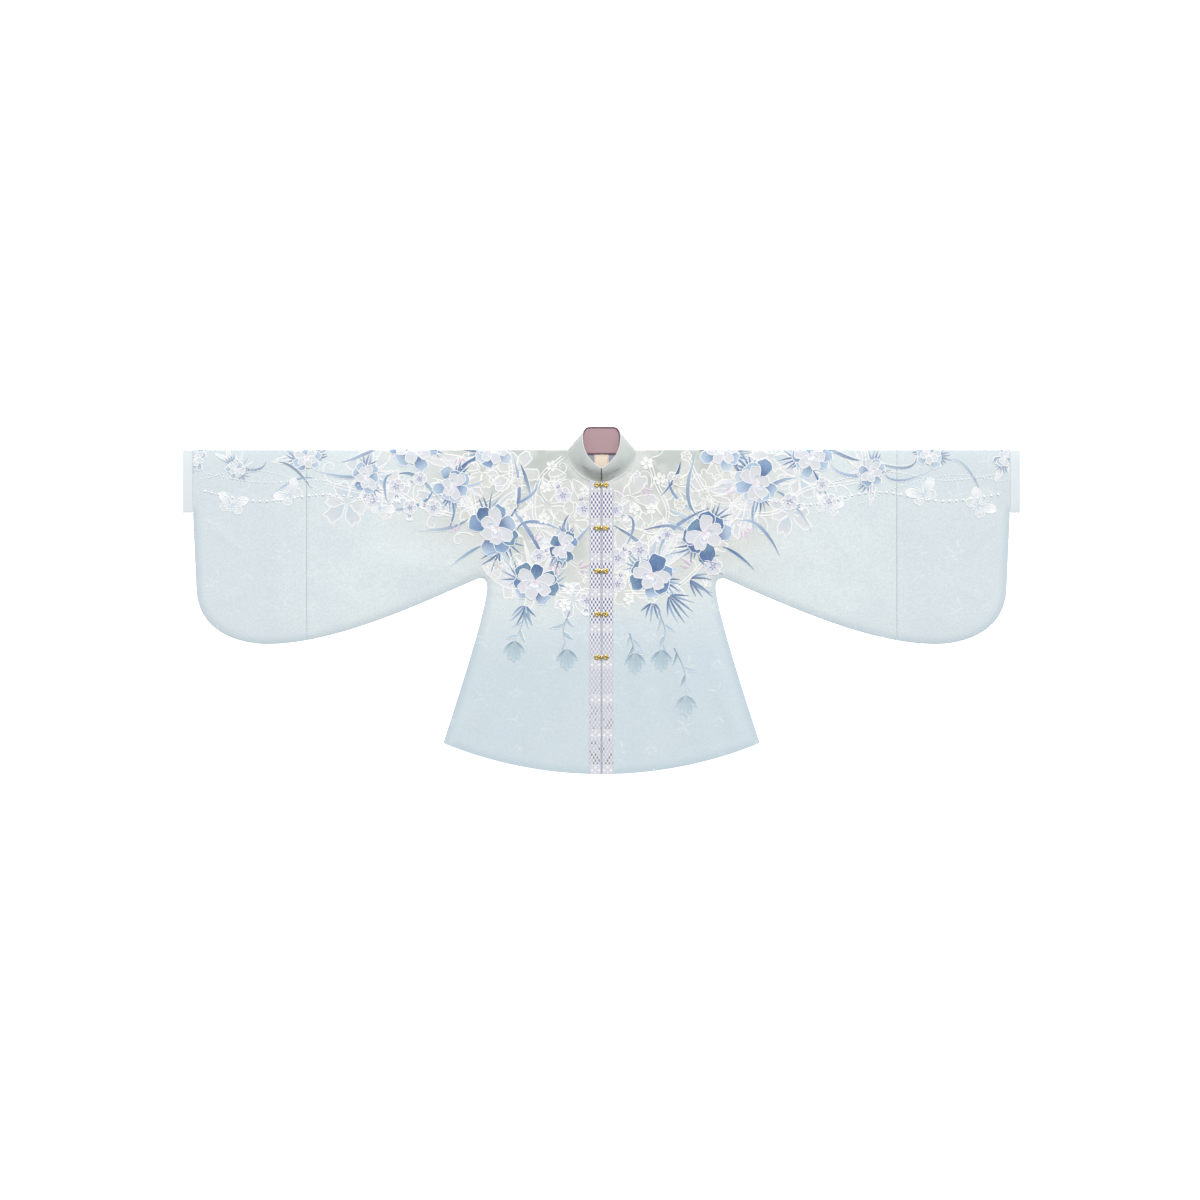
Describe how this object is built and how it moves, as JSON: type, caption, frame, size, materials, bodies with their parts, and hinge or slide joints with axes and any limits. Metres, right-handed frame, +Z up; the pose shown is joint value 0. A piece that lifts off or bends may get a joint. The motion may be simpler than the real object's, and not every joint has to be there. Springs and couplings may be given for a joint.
{
  "type": "stand-collar jacket with wide curved sleeves, laid flat",
  "caption": "Short lined jacket of east asian dress, laid out flat with its front up: stand collar, front opening with brocade bands and metal clasps, wide curved sleeves with pale cuff bands.",
  "frame": {"origin": "middle of the ground that the jacket covers, on the surface that it lies on", "axes": "+X towards the wearer's left sleeve, +Y from the hem towards the collar, +Z up, out of the front"},
  "size_m": [1.842, 0.7641, 0.0292],
  "materials": {
    "satin": "pale blue jacquard satin, sage green round the neck",
    "collar_satin": "plain sage green satin",
    "collar_lining": "matt dusty pink cloth",
    "cuff_cloth": "plain very pale blue satin",
    "brocade": "white and lilac lattice brocade",
    "label": "woven cream tape, blank",
    "gilt": "polished gold-coloured metal"
  },
  "bodies": {
    "root": {"body_left": "satin", "body_right": "satin", "sleeve_end_left": "satin", "sleeve_end_right": "satin", "cuff_left": "cuff_cloth", "cuff_right": "cuff_cloth", "collar": "collar_satin", "collar_lining": "collar_lining", "placket_left": "brocade", "placket_right": "brocade", "label": "label", "clasp_1_knob": "gilt", "clasp_1_loop": "gilt", "clasp_2_knob": "gilt", "clasp_2_loop": "gilt", "clasp_3_knob": "gilt", "clasp_3_loop": "gilt", "clasp_4_knob": "gilt", "clasp_4_loop": "gilt", "clasp_5_knob": "gilt", "clasp_5_loop": "gilt"}
  },
  "joints": []
}
